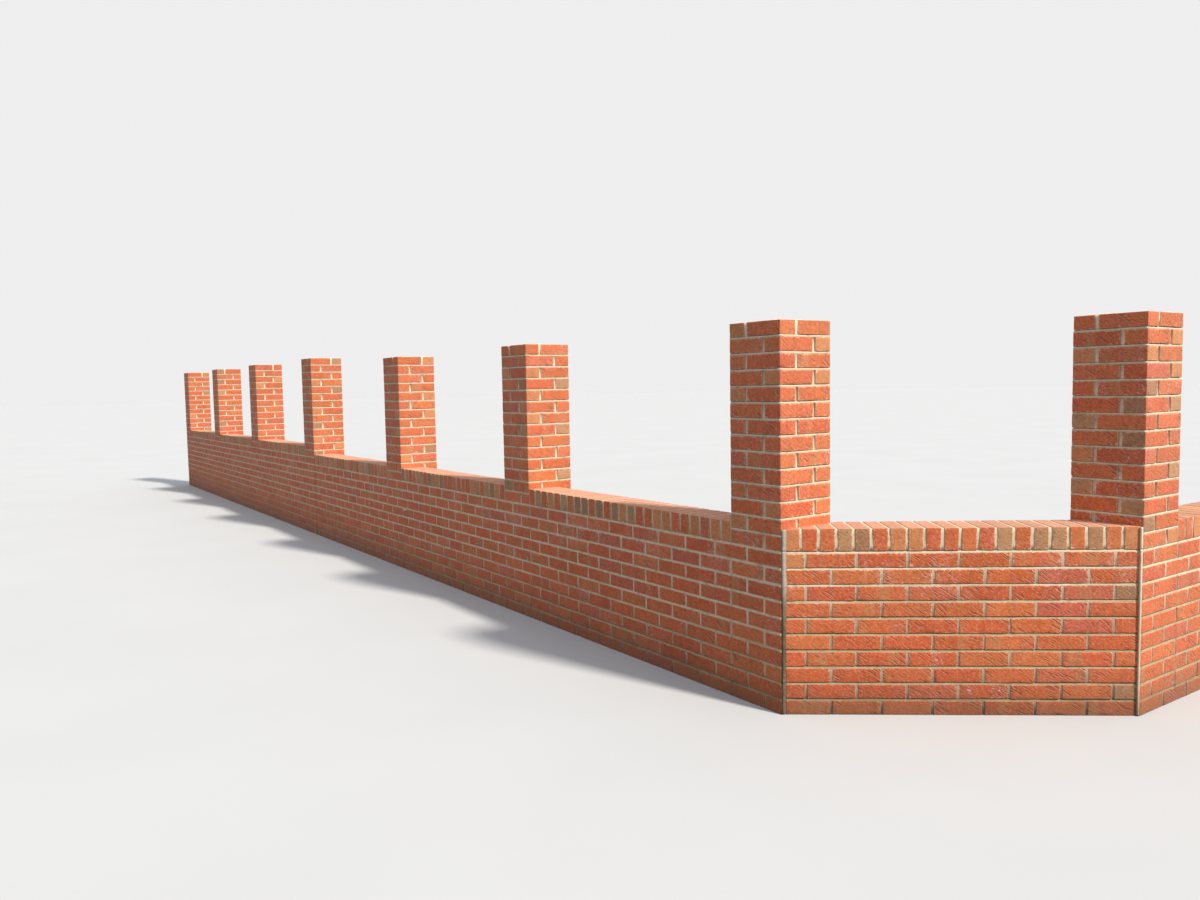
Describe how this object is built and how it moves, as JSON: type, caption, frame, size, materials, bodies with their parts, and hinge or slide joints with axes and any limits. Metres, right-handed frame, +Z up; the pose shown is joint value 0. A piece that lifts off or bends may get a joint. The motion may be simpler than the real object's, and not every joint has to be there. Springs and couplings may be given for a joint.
{
  "type": "brick garden wall",
  "caption": "Low brick garden wall with square brick piers, a brick-on-edge coping, a step in its height and a splayed corner.",
  "frame": {"origin": "centre of the corner pier's foot, at ground level", "axes": "+X along the front run towards the corner, +Y into the garden, +Z up"},
  "size_m": [14.573, 3.8167, 1.87],
  "materials": {
    "brick": "rough",
    "coping_brick": "rough",
    "joint_filler": "matte"
  },
  "bodies": {
    "root": {"pier_1": "brick", "pier_2": "brick", "pier_3": "brick", "pier_4": "brick", "pier_5": "brick", "pier_6": "brick", "pier_7": "brick", "pier_8": "brick", "pier_9": "brick", "wall_bay_1": "brick", "wall_bay_2": "brick", "wall_bay_3": "brick", "wall_bay_4": "brick", "wall_bay_5": "brick", "wall_bay_6": "brick", "splay_wall": "brick", "return_wall": "brick", "coping_bay_1": "coping_brick", "coping_bay_2": "coping_brick", "coping_bay_3": "coping_brick", "coping_bay_4": "coping_brick", "coping_bay_5": "coping_brick", "coping_bay_6": "coping_brick", "splay_coping": "coping_brick", "return_coping": "coping_brick", "movement_joint": "joint_filler"}
  },
  "joints": []
}
